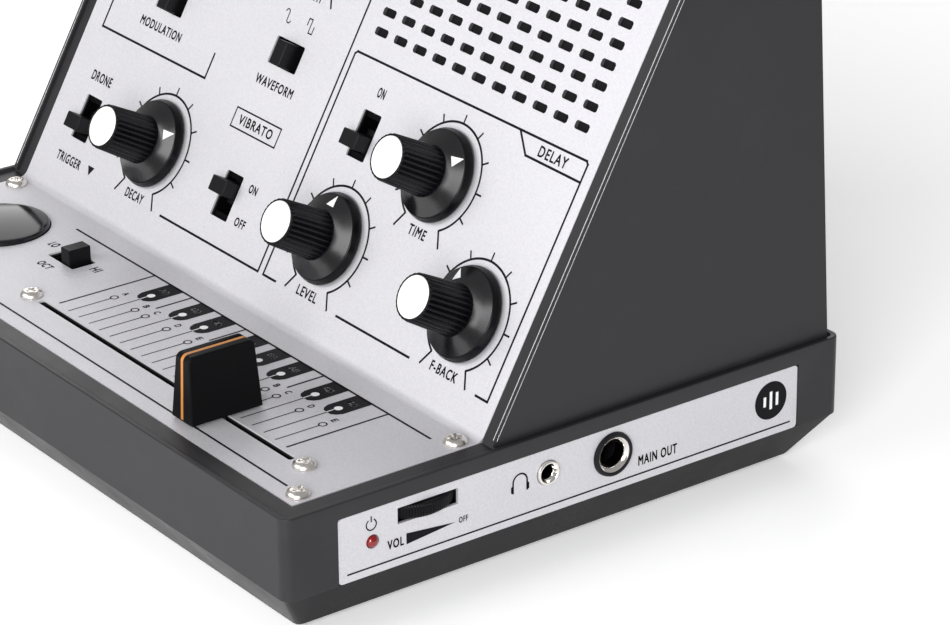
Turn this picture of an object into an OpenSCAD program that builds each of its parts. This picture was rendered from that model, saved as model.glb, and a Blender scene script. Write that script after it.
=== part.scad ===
// Desktop synthesizer: a shallow case with a bent steel faceplate. The front of the plate is a flat deck
// with a long pitch fader and a trigger button; the rest rises up a sloping tower with the knobs,
// slide switches and loudspeaker. Width runs along X, the front is at -Y, the feet stand on Z = 0.

/* [Case] */
// Width of the case across its side walls
case_w = 216; // [190:1:260]
// Depth of the case from front wall to back wall
case_d = 161; // [145:1:195]
// Height of the upper case wall above its seam
wall_h = 20.4; // [20:0.2:26]
// Height of the lower base under the seam
base_h = 11.5; // [10:0.5:16]
// Height of the rubber feet under the base
foot_h = 1.5; // [1:0.5:4]
// Thickness of the moulded walls
wall_t = 2.4; // [1.8:0.1:3]
// Radius of the upright corners of the case
corner_r = 2.8; // [1:0.2:5]
// How far the bottom of the lower base is drawn in from the walls
base_taper = 8.3; // [5:0.1:11]

/* [Faceplate] */
// Thickness of the faceplate sheet
plate_t = 1; // [0.8:0.1:1.5]
// Margin from the case walls to the edge of the faceplate
plate_margin = 7; // [6:0.5:10]
// Height of the ridge round the rim above the faceplate
ridge_h = 0.9; // [0.4:0.1:1.5]
// Depth of the flat deck, from the front wall to the fold
deck_d = 58.7; // [56:0.5:66]
// Slope of the upper panel above the deck
slope = 60.6; // [50:0.2:70]
// Length of the tower front measured up the slope
panel_len = 140; // [130:1:160]
// Radius of the fold between deck and panel
fold_r = 3; // [2:0.5:6]
// Depth of the flat top of the tower
top_d = 24; // [18:1:40]

/* [Fader] */
// Travel of the pitch fader
fader_travel = 100; // [80:1:110]
// Spacing of the two fader screws
fader_pitch = 119; // [116:1:124]
// Distance of the fader line from the front wall
fader_in = 20.1; // [18:0.1:24]
// Offset of the fader centre to the right of the case centre
fader_x = 27; // [20:0.5:28]
// Rest position of the fader cap from the centre of its travel
fader_rest = 24.1; // [-40:0.1:40]
// Height of the fader cap above the deck
fader_cap_h = 16.4; // [12:0.1:20]

/* [Knobs] */
// Radius of the knob skirt
skirt_r = 11.6; // [10:0.1:12.5]
// Height of the knob above the panel
knob_h = 18; // [14:0.5:20]
// Radius of the fluted grip at its foot
grip_r = 6.6; // [5.6:0.1:8]
// Radius of the potentiometer shaft
shaft_r = 3; // [2.5:0.1:3.2]

/* [Switches] */
// Length of a switch window
window_l = 12; // [11:0.2:14]
// Width of a switch window
window_w = 7.2; // [7:0.2:8]
// Travel of a two-way switch
switch_travel = 3.6; // [3:0.1:4]
// Height of a switch slider above the plate
slider_h = 4.1; // [3:0.1:6]

/* [Trigger] */
// Radius of the trigger button
button_r = 13.3; // [10:0.1:14]
// Travel of the trigger button
button_travel = 1.5; // [0.8:0.1:2]

/* [Loudspeaker] */
// Radius of the loudspeaker frame
speaker_r = 28.5; // [24:0.5:28.5]
// Columns of holes in the grille
grille_cols = 11; // [7:1:11]
// Rows of holes in the grille
grille_rows = 12; // [7:1:12]

/* [Side controls] */
// Radius of the volume wheel
wheel_r = 12; // [10:0.5:13]
// Thickness of the volume wheel
wheel_t = 3.3; // [2.6:0.1:3.4]
// Radius of the headphone jack bore
small_bore_r = 1.8; // [1.75:0.05:1.9]
// Radius of the main output jack bore
main_bore_r = 3.3; // [3.2:0.05:3.4]

/* [Hidden] */
$fn = 64;
gap = 0.15;
slide_gap = 0.2;
run_fit = 0.06;
through = 60;
seam_z = foot_h + base_h;
rim_z = seam_z + wall_h;
deck_z = rim_z - ridge_h;
front_y = -case_d / 2;
half_w = case_w / 2;
fold_y = front_y + deck_d;
plate_hw = half_w - plate_margin;
ridge_w = 1.5;
ledge_w = 3;
rest_t = 2.2;
tower_hw = half_w - ridge_w - 0.5;
back_lean = 6.9;
top_lip = 5;
top_cut = 3;
panel_top = [fold_y + panel_len * cos(slope), deck_z + panel_len * sin(slope)];
back_top = [panel_top[0] + top_d, panel_top[1]];
back_low = [back_top[0] + back_lean, deck_z];
plate_top = panel_len - top_lip - gap;
screw_r = 1.25;
pilot_r = 1.32;
head_r = 2.9;
head_h = 1.7;
boss_r = 3.3;
plate_boss_r = 2.9;
plate_boss_h = 10;
seat_gap = 0.02;
deck_screw_x = half_w - 10.6;
deck_screw_ys = [front_y + 11, fold_y - 4.7];
top_screw_s = panel_len - 9;

// knob centres on the sloping panel: across, up the slope
decay_at = [-53.4, 24.2];
level_at = [24.7, 24.2];
time_at = [53, 49.9];
feedback_at = [80.4, 24.2];
rate_at = [-69.9, 90];
depth_at = [-17.8, 90];
knob_spots = [decay_at, level_at, time_at, feedback_at, rate_at, depth_at];

// switch centres on the sloping panel
drone_at = [-85.3, 21.4];
vibrato_at = [-18.7, 21.4];
delay_at = [21.1, 50.2];
waveform_at = [-18.4, 59.4];
modulation_at = [-70.3, 59.4];
upright_spots = [drone_at, vibrato_at, delay_at];
level_spots = [waveform_at, modulation_at];

// deck controls
octave_at = [-46, front_y + 39.9];
octave_travel = 4;
button_at = [-75.5, front_y + 35.7];
fader_y = front_y + fader_in;
fader_slot_w = 2;
fader_slot_l = fader_travel + 10;

// loudspeaker grille
grille_dx = 7.85;
grille_ds = 5.07;
grille_hole = [5, 2.1];
grille_cut = 0.45;
grille_at = [90.9 - grille_dx * (grille_cols - 1) / 2, 74.5 + grille_ds * (grille_rows - 1) / 2];
cloth_t = 0.5;
cloth = [grille_dx * (grille_cols - 1) + grille_hole[0] + 0.6,
  grille_ds * (grille_rows - 1) + grille_hole[1] + 0.2];
speaker_d = 20;

// right side wall
side_plate_t = 0.8;
side_plate_out = half_w - 0.2;
side_plate_ys = [front_y + 14.3, front_y + 147.5];
side_plate_top = seam_z + 16.3;
led_at = [front_y + 23.55, seam_z + 8.2];
led_r = 1.6;
wheel_at = [front_y + 38.8, seam_z + 12.3];
wheel_proud = 1.4;
wheel_x = half_w + wheel_proud - wheel_r;
wheel_slot = [16.7, 3.95];
small_jack_at = [front_y + 72.5, seam_z + 10.4];
small_nose_r = 3;
main_jack_at = [front_y + 91.35, seam_z + 9.5];
main_ring_r = 5.4;
main_sleeve_r = 4.4;
jack_proud = 0.5;

// inside
pot_r = 8.2;
pot_h = 8;
bush_r = 3.5;
nut_r = 5.4;
nut_h = 1.6;
board_t = 1.6;
panel_board_h = plate_t + 0.3 + pot_h + 0.6;
deck_board_top = seam_z + 6.6;
deck_board_x = [-half_w + 13, half_w - 29];
deck_board_y = [front_y + 10.8, fold_y - 5];
post_x = half_w - 16;
post_ys = [28, 50];
front_screw_at = [60, front_y + 11.9];
front_post_shift = 0.6;
front_post_top = seam_z + 8;
head_z = foot_h + 3;
cell_r = 7.25;
cell_l = 50.5;
cell_pitch = 14.9;
well_at = [-20, 28];
well_in = [57.5, 4 * cell_pitch + 0.8];
well_wall = 1.8;
door_t = 1.8;
door_r = door_t / 2;
door_pin_r = 0.6;
foot_at = [half_w - 16, case_d / 2 - 16.8];
foot_r = 5;

// stands children on the sloping panel, h measured out of it
module on_panel(spot, h = 0) {
  translate([0, fold_y, deck_z])
  rotate([slope, 0, 0])
  translate([spot[0], spot[1], h])
  children();
}

// stands children on the deck
module on_deck(spot, h = 0) {
  translate([spot[0], spot[1], deck_z + h])
  children();
}

// turns a side profile into a solid across the case
module across(w) {
  rotate([90, 0, 90])
  linear_extrude(w, center = true)
  children();
}

// turns a shape so that it points out of the right wall
module out_of_side(spot, x) {
  translate([x, spot[0], spot[1]])
  rotate([0, 90, 0])
  children();
}

// rounded footprint of the case drawn in by an even margin
module footprint(inset, r) {
  w = case_w - 2 * inset;
  d = case_d - 2 * inset;
  square([w - 2 * r, d], center = true);
  square([w, d - 2 * r], center = true);
  for (sx = [-1, 1])
    for (sy = [-1, 1])
      translate([sx * (w / 2 - r), sy * (d / 2 - r)])
      circle(r);
}

module ring(outer, inner, h) {
  difference() {
    cylinder(r = outer, h = h);
    translate([0, 0, -1])
    cylinder(r = inner, h = h + 2);
  }
}

// ---------- case ----------

module side_openings(extra) {
  out_of_side(led_at, half_w - 6)
  cylinder(r = led_r + 0.1 + extra, h = 8);
  out_of_side(small_jack_at, half_w - 6)
  cylinder(r = small_nose_r + 0.1 + extra, h = 8);
  out_of_side(main_jack_at, half_w - 6)
  cylinder(r = main_ring_r + 0.1 + extra, h = 8);
  translate([half_w, wheel_at[0], wheel_at[1]])
  cube([12, wheel_slot[0] + 2 * extra, wheel_slot[1] + 2 * extra], center = true);
}

module base_tray() {
  color([0.25, 0.25, 0.26])
  difference() {
    union() {
      difference() {
        translate([0, 0, seam_z])
        linear_extrude(wall_h)
        footprint(0, corner_r);
        // hollow under the rim
        translate([0, 0, seam_z - 1])
        linear_extrude(deck_z - plate_t - rest_t - seam_z + 1)
        footprint(wall_t, 1);
        // open middle
        translate([0, 0, seam_z - 1])
        linear_extrude(wall_h + 2)
        footprint(plate_margin + ledge_w, 1);
        // field inside the ridge
        translate([0, 0, deck_z])
        linear_extrude(ridge_h + 1)
        footprint(ridge_w, corner_r - ridge_w);
        // seat of the faceplate
        translate([-plate_hw - gap, front_y + plate_margin - gap, deck_z - plate_t - seat_gap])
        cube([2 * (plate_hw + gap), deck_d - plate_margin + 8, plate_t + 1]);
      }
      // bosses for the deck screws
      for (sx = [-1, 1])
        for (y = deck_screw_ys)
          translate([sx * deck_screw_x, y, deck_z - plate_t - plate_boss_h])
          cylinder(r = plate_boss_r, h = plate_boss_h - seat_gap);
      // webs that tie the rear deck bosses to the ledge
      for (sx = [-1, 1])
        translate([sx * (deck_screw_x + 2.2), deck_screw_ys[1], deck_z - plate_t - 4])
        cube([6, 3, 7.9], center = true);
      // bosses for the front base screws
      for (sx = [-1, 1])
        translate([sx * front_screw_at[0], front_screw_at[1], front_post_top])
        cylinder(r = boss_r, h = deck_z - plate_t - rest_t - front_post_top + 1);
    }
    for (sx = [-1, 1])
      for (y = deck_screw_ys)
        translate([sx * deck_screw_x, y, deck_z - plate_t - plate_boss_h + 1])
        cylinder(r = pilot_r, h = plate_boss_h + 2);
    for (sx = [-1, 1])
      translate([sx * front_screw_at[0], front_screw_at[1], front_post_top - 1])
      cylinder(r = pilot_r, h = 9);
    // seat of the side plate
    translate([side_plate_out - side_plate_t, side_plate_ys[0] - gap, seam_z - 1])
    cube([4, side_plate_ys[1] - side_plate_ys[0] + 2 * gap, side_plate_top + gap - seam_z + 1]);
    side_openings(0.6);
  }
}

module tower_profile() {
  polygon([[fold_y, deck_z], panel_top, [back_top[0] - top_cut, back_top[1]],
    [back_top[0], back_top[1] - top_cut], back_low]);
}

module tower_hollow() {
  out = 20;
  polygon([[fold_y - out, deck_z - 1], [fold_y + 1, deck_z - 1], [back_low[0] - wall_t, deck_z - 1],
    [back_top[0] - wall_t, back_top[1] - top_cut - 1], [back_top[0] - top_cut, back_top[1] - wall_t],
    [panel_top[0] - out, back_top[1] - wall_t]]);
}

module tower_shell() {
  lip_in = plate_hw - ledge_w;
  seat_h = plate_t + seat_gap;
  color([0.25, 0.25, 0.26])
  difference() {
    union() {
      difference() {
        across(2 * tower_hw)
        tower_profile();
        across(2 * (tower_hw - wall_t))
        tower_hollow();
      }
      // ledges behind the edges of the faceplate
      intersection() {
        for (sx = [-1, 1])
          on_panel([sx * (lip_in + tower_hw) / 2, panel_len / 2], -(seat_h + rest_t) / 2)
          cube([tower_hw - lip_in, panel_len, seat_h + rest_t], center = true);
        across(2 * tower_hw)
        tower_profile();
      }
      // ledge along the top edge
      intersection() {
        on_panel([0, panel_len], -(seat_h + rest_t) / 2)
        cube([2 * tower_hw, 2 * (top_lip + ledge_w), seat_h + rest_t], center = true);
        across(2 * tower_hw)
        tower_profile();
      }
      // raised ridges on the outer edges of the cheeks
      for (sx = [-1, 1])
        on_panel([sx * (tower_hw - ridge_w / 2), panel_len / 2], ridge_h / 2 - 0.5)
        cube([ridge_w, panel_len - 1.2, ridge_h + 1], center = true);
      // bosses for the rear base screws
      for (sx = [-1, 1])
        for (y = post_ys) {
          translate([sx * post_x, y, deck_z])
          cylinder(r = boss_r, h = 14);
          translate([sx * (post_x + tower_hw - 1) / 2, y, deck_z + 7])
          cube([tower_hw - 1 - post_x, 2, 14], center = true);
        }
      // bosses for the two top panel screws
      for (sx = [-1, 1])
        on_panel([sx * deck_screw_x, top_screw_s], -seat_h - 8)
        cylinder(r = plate_boss_r, h = 8);
    }
    // seat of the faceplate
    on_panel([0, plate_top / 2 - 1], -seat_h / 2 + 5)
    cube([2 * (plate_hw + gap), plate_top + 2 + 2 * gap, seat_h + 10], center = true);
    for (sx = [-1, 1])
      on_panel([sx * deck_screw_x, top_screw_s], -seat_h - 7)
      cylinder(r = pilot_r, h = 9);
    for (sx = [-1, 1])
      for (y = post_ys)
        translate([sx * post_x, y, deck_z - 1])
        cylinder(r = pilot_r, h = 12);
  }
}

// tapered tub: the meeting of a front profile and a side profile
module tub(inset, low, top_in) {
  top_w = half_w - top_in - inset;
  low_w = half_w - base_taper - inset;
  top_dd = case_d / 2 - top_in - inset;
  low_dd = case_d / 2 - base_taper - inset;
  intersection() {
    rotate([90, 0, 0])
    linear_extrude(case_d, center = true)
    polygon([[-top_w, seam_z], [-low_w, low], [low_w, low], [top_w, seam_z]]);
    across(case_w)
    polygon([[-top_dd, seam_z], [-low_dd, low], [low_dd, low], [top_dd, seam_z]]);
  }
}

module lower_base() {
  well_top = foot_h + door_t + 2 * cell_r + 0.9;
  color([0.1, 0.1, 0.12])
  difference() {
    union() {
      difference() {
        tub(0, foot_h, 0.5);
        difference() {
          tub(wall_t, foot_h + wall_t, 0.5);
          translate([-half_w, -case_d, 0])
          cube([case_w, 2 * case_d, foot_h + wall_t]);
        }
      }
      // battery well
      translate([well_at[0], well_at[1], (foot_h + well_top + well_wall) / 2])
      cube([well_in[0] + 2 * well_wall, well_in[1] + 2 * well_wall, well_top + well_wall - foot_h],
        center = true);
      // posts for the long screws into the tower
      for (sx = [-1, 1])
        for (y = post_ys)
          translate([sx * post_x, y, foot_h])
          cylinder(r = boss_r, h = deck_z - foot_h - 0.05);
      for (sx = [-1, 1])
        translate([sx * front_screw_at[0], front_screw_at[1] + front_post_shift, foot_h])
        cylinder(r = boss_r - 0.5, h = front_post_top - foot_h - 0.05);
      // posts under the deck board
      for (x = [deck_board_x[0] + 5, deck_board_x[1] - 5])
        for (y = [deck_board_y[0] + 9, deck_board_y[1] - 4])
          translate([x, y, foot_h + 1])
          cylinder(r = 2.5, h = deck_board_top - board_t - foot_h - 1);
    }
    // battery bay
    translate([well_at[0], well_at[1], well_top / 2])
    cube([well_in[0], well_in[1], well_top], center = true);
    // hinge pin holes of the battery door
    translate([well_at[0], well_at[1] + well_in[1] / 2 - door_r - slide_gap, foot_h + door_r])
    rotate([0, 90, 0])
    cylinder(r = door_pin_r + run_fit, h = well_in[0] + 2.4, center = true);
    // screw passages
    for (sx = [-1, 1])
      for (y = post_ys) {
        translate([sx * post_x, y, 0])
        cylinder(r = screw_r + 0.4, h = through);
        translate([sx * post_x, y, 0])
        cylinder(r = head_r - 0.3, h = head_z);
      }
    for (sx = [-1, 1]) {
      translate([sx * front_screw_at[0], front_screw_at[1], 0])
      cylinder(r = screw_r + 0.4, h = through);
      translate([sx * front_screw_at[0], front_screw_at[1] + 0.3, 0])
      cylinder(r = head_r - 0.2, h = head_z);
    }
    // seats of the feet
    for (sx = [-1, 1])
      for (sy = [-1, 1])
        translate([sx * foot_at[0], sy * foot_at[1], 0])
        cylinder(r = foot_r + 0.05, h = foot_h + 0.8);
  }
}

module battery_door() {
  w = well_in[0] - 2 * slide_gap;
  axis_y = well_at[1] + well_in[1] / 2 - door_r - slide_gap;
  d = well_in[1] - 2 * slide_gap - door_r;
  color([0.1, 0.1, 0.12])
  difference() {
    union() {
      translate([well_at[0], axis_y - d / 2, foot_h + door_r])
      cube([w, d, door_t], center = true);
      translate([well_at[0], axis_y, foot_h + door_r])
      rotate([0, 90, 0])
      cylinder(r = door_r, h = w, center = true);
      translate([well_at[0], axis_y, foot_h + door_r])
      rotate([0, 90, 0])
      cylinder(r = door_pin_r, h = well_in[0] + 2, center = true);
    }
    // finger grip at the free edge
    translate([well_at[0], axis_y - d + 5, foot_h])
    cube([16, 4, 1.4], center = true);
  }
}

module feet() {
  color([0.06, 0.06, 0.06])
  for (sx = [-1, 1])
    for (sy = [-1, 1])
      translate([sx * foot_at[0], sy * foot_at[1], 0])
      cylinder(r = foot_r, h = foot_h + 0.8);
}

// ---------- faceplate ----------

module window(l, w) {
  r = 0.5;
  square([l - 2 * r, w], center = true);
  square([l, w - 2 * r], center = true);
  for (sx = [-1, 1])
    for (sy = [-1, 1])
      translate([sx * (l / 2 - r), sy * (w / 2 - r)])
      circle(r, $fn = 24);
}

module grille_slot() {
  x = grille_hole[0] / 2;
  y = grille_hole[1] / 2;
  c = grille_cut;
  polygon([[-x, -y + c], [-x + c, -y], [x - c, -y], [x, -y + c], [x, y - c], [x - c, y], [-x + c, y],
    [-x, y - c]]);
}

module deck_holes() {
  for (sx = [-1, 1])
    for (y = deck_screw_ys)
      translate([sx * deck_screw_x, y])
      circle(screw_r + 0.3);
  translate([fader_x, fader_y])
  window(fader_slot_l, fader_slot_w);
  for (sx = [-1, 1])
    translate([fader_x + sx * fader_pitch / 2, fader_y])
    circle(screw_r + 0.3);
  translate(button_at)
  circle(button_r + 0.3);
  translate(octave_at)
  window(window_l, window_w);
}

module panel_holes() {
  for (p = knob_spots)
    translate(p)
    circle(bush_r + 0.1);
  for (p = upright_spots)
    translate(p)
    window(window_w, window_l);
  for (p = level_spots)
    translate(p)
    window(window_l, window_w);
  for (sx = [-1, 1])
    translate([sx * deck_screw_x, top_screw_s])
    circle(screw_r + 0.3);
  for (i = [0:grille_cols - 1])
    for (j = [0:grille_rows - 1])
      translate([grille_at[0] + (i - (grille_cols - 1) / 2) * grille_dx,
        grille_at[1] + (j - (grille_rows - 1) / 2) * grille_ds])
      grille_slot();
}

// one side of the fold: points round the bend centre at radius r
function bend(r, n = 12) = [for (i = [0:n])
  let (a = -90 + slope * i / n)
  [fold_y - fold_r * tan(slope / 2) + r * cos(a), deck_z + fold_r + r * sin(a)]];

// a point up the panel, h out of its face
function up_panel(s, h) = [fold_y + s * cos(slope) - h * sin(slope),
  deck_z + s * sin(slope) + h * cos(slope)];

module faceplate() {
  back = bend(fold_r + plate_t);
  front = front_y + plate_margin;
  color([0.78, 0.78, 0.8])
  difference() {
    across(2 * plate_hw)
    polygon(concat([[front, deck_z - plate_t], [front, deck_z]], bend(fold_r),
      [up_panel(plate_top, 0), up_panel(plate_top, -plate_t)],
      [for (i = [len(back) - 1:-1:0]) back[i]]));
    translate([0, 0, deck_z - plate_t - 1])
    linear_extrude(plate_t + 2)
    deck_holes();
    on_panel([0, 0], -plate_t - 1)
    linear_extrude(plate_t + 2)
    panel_holes();
  }
}

module side_plate() {
  color([0.78, 0.78, 0.8])
  difference() {
    translate([side_plate_out - side_plate_t, side_plate_ys[0], seam_z])
    cube([side_plate_t, side_plate_ys[1] - side_plate_ys[0], side_plate_top - seam_z]);
    side_openings(0);
  }
}

// ---------- loudspeaker ----------

module grille_cloth() {
  color([0.05, 0.05, 0.05])
  on_panel(grille_at, -plate_t - cloth_t / 2)
  cube([cloth[0], cloth[1], cloth_t - 0.05], center = true);
}

module speaker_basket() {
  color([0.2, 0.2, 0.22])
  on_panel(grille_at, -plate_t - cloth_t)
  rotate_extrude()
  polygon([[speaker_r - 4, -0.05], [speaker_r, -0.05], [speaker_r, -2], [speaker_r - 3, -2],
    [speaker_r - 13, -speaker_d + 8], [10, -speaker_d + 8], [10, -speaker_d + 9.2],
    [speaker_r - 13.4, -speaker_d + 9.2], [speaker_r - 4, -1.4]]);
}

module speaker_cone() {
  color([0.08, 0.08, 0.08])
  on_panel(grille_at, -plate_t - cloth_t)
  rotate_extrude()
  polygon([[0.5, -4.6], [7, -6.2], [speaker_r - 8, -1.8], [speaker_r - 4.4, -1.2], [speaker_r - 4.4, -0.8],
    [speaker_r - 8, -1.2], [7, -5.4], [0.5, -3.8]]);
}

module speaker_magnet() {
  color([0.3, 0.3, 0.32])
  on_panel(grille_at, -plate_t - cloth_t - speaker_d)
  cylinder(r = 16, h = 7.9);
}

// ---------- boards ----------

module panel_board() {
  low = 12;
  mid = grille_at[1] - speaker_r - 4;
  top = 106;
  right = half_w - 12;
  color([0.12, 0.35, 0.2])
  on_panel([0, 0], -panel_board_h - board_t)
  linear_extrude(board_t)
  difference() {
    polygon([[-right, low], [right, low], [right, mid], [grille_at[0] - speaker_r - 3, mid],
      [grille_at[0] - speaker_r - 3, top], [-right, top]]);
    for (sx = [-1, 1])
      translate([sx * (right - 4), low + 4])
      circle(1.6);
  }
}

module deck_board() {
  color([0.12, 0.35, 0.2])
  difference() {
    translate([deck_board_x[0], deck_board_y[0], deck_board_top - board_t])
    cube([deck_board_x[1] - deck_board_x[0], deck_board_y[1] - deck_board_y[0], board_t]);
    for (sx = [-1, 1])
      translate([sx * front_screw_at[0], front_screw_at[1] + front_post_shift, 0])
      cylinder(r = boss_r, h = through);
  }
}

// ---------- pitch fader ----------

carriage_l = 9;
channel_w = 9;
channel_h = 7.4;
channel_in = channel_w - 1.6;

module fader_body() {
  l = fader_pitch + 7;
  inner = fader_travel + carriage_l + 1.2;
  color([0.6, 0.6, 0.62])
  on_deck([fader_x, fader_y], -plate_t - channel_h)
  difference() {
    translate([0, 0, channel_h / 2])
    cube([l, channel_w, channel_h - 0.02], center = true);
    translate([0, 0, channel_h / 2])
    cube([inner, channel_in, channel_h - 1.6], center = true);
    translate([0, 0, channel_h])
    cube([fader_travel + 8, fader_slot_w, 4], center = true);
    for (sx = [-1, 1])
      translate([sx * fader_pitch / 2, 0, -1])
      cylinder(r = pilot_r, h = channel_h + 2);
  }
}

module fader_lever() {
  color([0.8, 0.8, 0.8])
  on_deck([fader_x + fader_rest, fader_y], 0) {
    translate([0, 0, -plate_t - channel_h / 2])
    cube([carriage_l, channel_in - 2 * slide_gap, channel_h - 2], center = true);
    translate([-2.5, -0.6, -plate_t - channel_h / 2])
    cube([5, 1.2, channel_h / 2 + plate_t + 9]);
  }
}

module fader_form(grow) {
  base = [9 + grow, 19.4 + grow];
  top = [5.4 + grow, 18.2 + grow];
  r = 1.6;
  intersection() {
    rotate([90, 0, 0])
    linear_extrude(base[1] + 2, center = true)
    polygon([[-base[0] / 2, 0], [base[0] / 2, 0], [top[0] / 2, fader_cap_h + grow / 2],
      [-top[0] / 2, fader_cap_h + grow / 2]]);
    rotate([90, 0, 90])
    linear_extrude(base[0] + 2, center = true)
    union() {
      polygon([[-base[1] / 2, 0], [base[1] / 2, 0], [top[1] / 2, fader_cap_h - r],
        [top[1] / 2 - r, fader_cap_h + grow / 2], [-top[1] / 2 + r, fader_cap_h + grow / 2],
        [-top[1] / 2, fader_cap_h - r]]);
      for (sy = [-1, 1])
        translate([sy * (top[1] / 2 - r), fader_cap_h - r + grow / 2])
        circle(r);
    }
  }
}

module fader_line_band() {
  translate([0, 0, fader_cap_h / 2 + 0.2])
  cube([1, 30, fader_cap_h + 4], center = true);
}

module fader_cap() {
  color([0.08, 0.08, 0.09])
  on_deck([fader_x + fader_rest, fader_y], 0.5)
  difference() {
    fader_form(0);
    // groove that holds the coloured line
    difference() {
      fader_line_band();
      translate([0, 0, -0.5])
      cube([4, 15.6, 2 * fader_cap_h - 1], center = true);
      translate([0, 0, -1])
      cube([4, 40, 2.6], center = true);
    }
    // hollow underside
    translate([0, 0, 3])
    cube([4.2, 14.2, 7], center = true);
    // blind slot for the lever
    translate([-2.5 - 0.04, -0.6 - 0.04, -1])
    cube([5.08, 1.28, 9.6 + 0.1]);
  }
}

module fader_line() {
  color([0.9, 0.55, 0.15])
  on_deck([fader_x + fader_rest, fader_y], 0.5)
  intersection() {
    fader_form(0.04);
    difference() {
      translate([0, 0, fader_cap_h / 2 + 0.2])
      cube([0.96, 30, fader_cap_h + 4], center = true);
      translate([0, 0, -0.46])
      cube([4, 15.68, 2 * fader_cap_h - 0.96], center = true);
      translate([0, 0, -1])
      cube([4, 40, 2.7], center = true);
    }
  }
}

module fader_screws() {
  color([0.8, 0.8, 0.8])
  for (sx = [-1, 1])
    on_deck([fader_x + sx * fader_pitch / 2, fader_y], 0)
    pan_screw(6);
}

// ---------- screws ----------

// pan head with a cross recess, seated on z = 0, shank below
module pan_screw(l) {
  dome_r = 4.2;
  difference() {
    union() {
      intersection() {
        cylinder(r = head_r, h = head_h);
        translate([0, 0, head_h - dome_r])
        sphere(dome_r);
      }
      translate([0, 0, -l])
      cylinder(r = screw_r, h = l + 0.3);
    }
    for (a = [0, 90])
      rotate([0, 0, a])
      translate([0, 0, head_h])
      cube([3.1, 0.75, 1.6], center = true);
  }
}

module plate_screws() {
  color([0.8, 0.8, 0.8]) {
    for (sx = [-1, 1])
      for (y = deck_screw_ys)
        on_deck([sx * deck_screw_x, y], 0)
        pan_screw(8);
    for (sx = [-1, 1])
      on_panel([sx * deck_screw_x, top_screw_s], 0)
      pan_screw(8);
  }
}

module base_screws() {
  color([0.3, 0.3, 0.3]) {
    for (sx = [-1, 1])
      for (y = post_ys)
        translate([sx * post_x, y, 0]) {
          translate([0, 0, head_z - head_h])
          cylinder(r = head_r - 0.5, h = head_h);
          translate([0, 0, head_z - 0.1])
          cylinder(r = screw_r, h = deck_z + 8 - head_z);
        }
    for (sx = [-1, 1])
      translate([sx * front_screw_at[0], front_screw_at[1], 0]) {
        translate([0, 0, head_z - head_h])
        cylinder(r = head_r - 0.7, h = head_h);
        translate([0, 0, head_z - 0.1])
        cylinder(r = screw_r, h = seam_z + 14 - head_z);
      }
  }
}

// ---------- trigger ----------

button_low = -plate_t - 3.6;
tact_h = 3.4;

module trigger_button() {
  dome_h = 1.4;
  dome_r = (pow(button_r, 2) + pow(dome_h, 2)) / (2 * dome_h);
  color([0.05, 0.05, 0.05])
  on_deck(button_at, 0)
  union() {
    translate([0, 0, button_low])
    cylinder(r = button_r, h = -button_low + 0.9);
    // dome
    intersection() {
      translate([0, 0, 0.8])
      cylinder(r = button_r, h = dome_h + 0.2);
      translate([0, 0, 0.9 + dome_h - dome_r])
      sphere(dome_r, $fn = 128);
    }
    // retaining flange under the plate
    translate([0, 0, button_low])
    cylinder(r = button_r + 1.2, h = 3.2);
  }
}

module trigger_plunger() {
  low = deck_board_top + tact_h - deck_z;
  color([0.15, 0.15, 0.15])
  on_deck(button_at, low - 0.6)
  cylinder(r = 1.7, h = button_low - low + 0.6);
}

module trigger_switch() {
  color([0.2, 0.2, 0.2])
  translate([button_at[0], button_at[1], deck_board_top])
  difference() {
    translate([0, 0, tact_h / 2])
    cube([6, 6, tact_h], center = true);
    translate([0, 0, tact_h - 2.4])
    cylinder(r = 1.7 + run_fit, h = 3);
  }
}

// ---------- slide switches ----------

body_l = 15;
body_w = 9;
body_h = 5.6;
slider_l = 4;
slider_w = 6.4;
plinth_l = 7.4;

// a switch housing lying under the plate, travel along x
module switch_body() {
  translate([0, 0, -plate_t - body_h / 2 - 0.05])
  difference() {
    cube([body_l, body_w, body_h - 0.1], center = true);
    translate([0, 0, -0.3])
    cube([plinth_l + octave_travel + 1.2, slider_w + 2 * slide_gap, 3.4], center = true);
    translate([0, 0, body_h / 2])
    cube([slider_l + octave_travel + 1, slider_w + 2 * slide_gap, 3.4], center = true);
  }
}

module switch_legs(board_h) {
  for (i = [-1, 0, 1])
    translate([i * 4, 0, -board_h])
    cylinder(r = 0.4, h = board_h - plate_t - body_h + 0.2, $fn = 24);
}

module switch_slider() {
  top_z = -plate_t - body_h / 2 - 0.05 + 1;
  translate([0, 0, (slider_h + top_z) / 2 - 0.3])
  cube([slider_l, slider_w, slider_h - top_z + 0.6], center = true);
  translate([0, 0, top_z - 1.3])
  cube([plinth_l, slider_w, 2.2], center = true);
}

module switch_bodies() {
  color([0.12, 0.12, 0.12]) {
    for (p = upright_spots)
      on_panel(p, 0)
      rotate([0, 0, 90]) {
        switch_body();
        switch_legs(panel_board_h);
      }
    for (p = level_spots)
      on_panel(p, 0) {
        switch_body();
        switch_legs(panel_board_h);
      }
    on_deck(octave_at, 0) {
      switch_body();
      switch_legs(deck_z - deck_board_top);
    }
  }
}

module upright_slider(spot, side) {
  color([0.06, 0.06, 0.07])
  on_panel([spot[0], spot[1] + side * switch_travel / 2], 0)
  rotate([0, 0, 90])
  switch_slider();
}

module level_slider(spot, side) {
  color([0.06, 0.06, 0.07])
  on_panel([spot[0] + side * switch_travel / 2, spot[1]], 0)
  switch_slider();
}

module octave_slider() {
  color([0.06, 0.06, 0.07])
  on_deck([octave_at[0] + octave_travel / 2, octave_at[1]], 0)
  switch_slider();
}

// ---------- knobs ----------

flutes = 36;
cap_r = 5.4;
cap_t = 0.8;
hub_gap = 1.2;
socket_h = 12;

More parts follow.
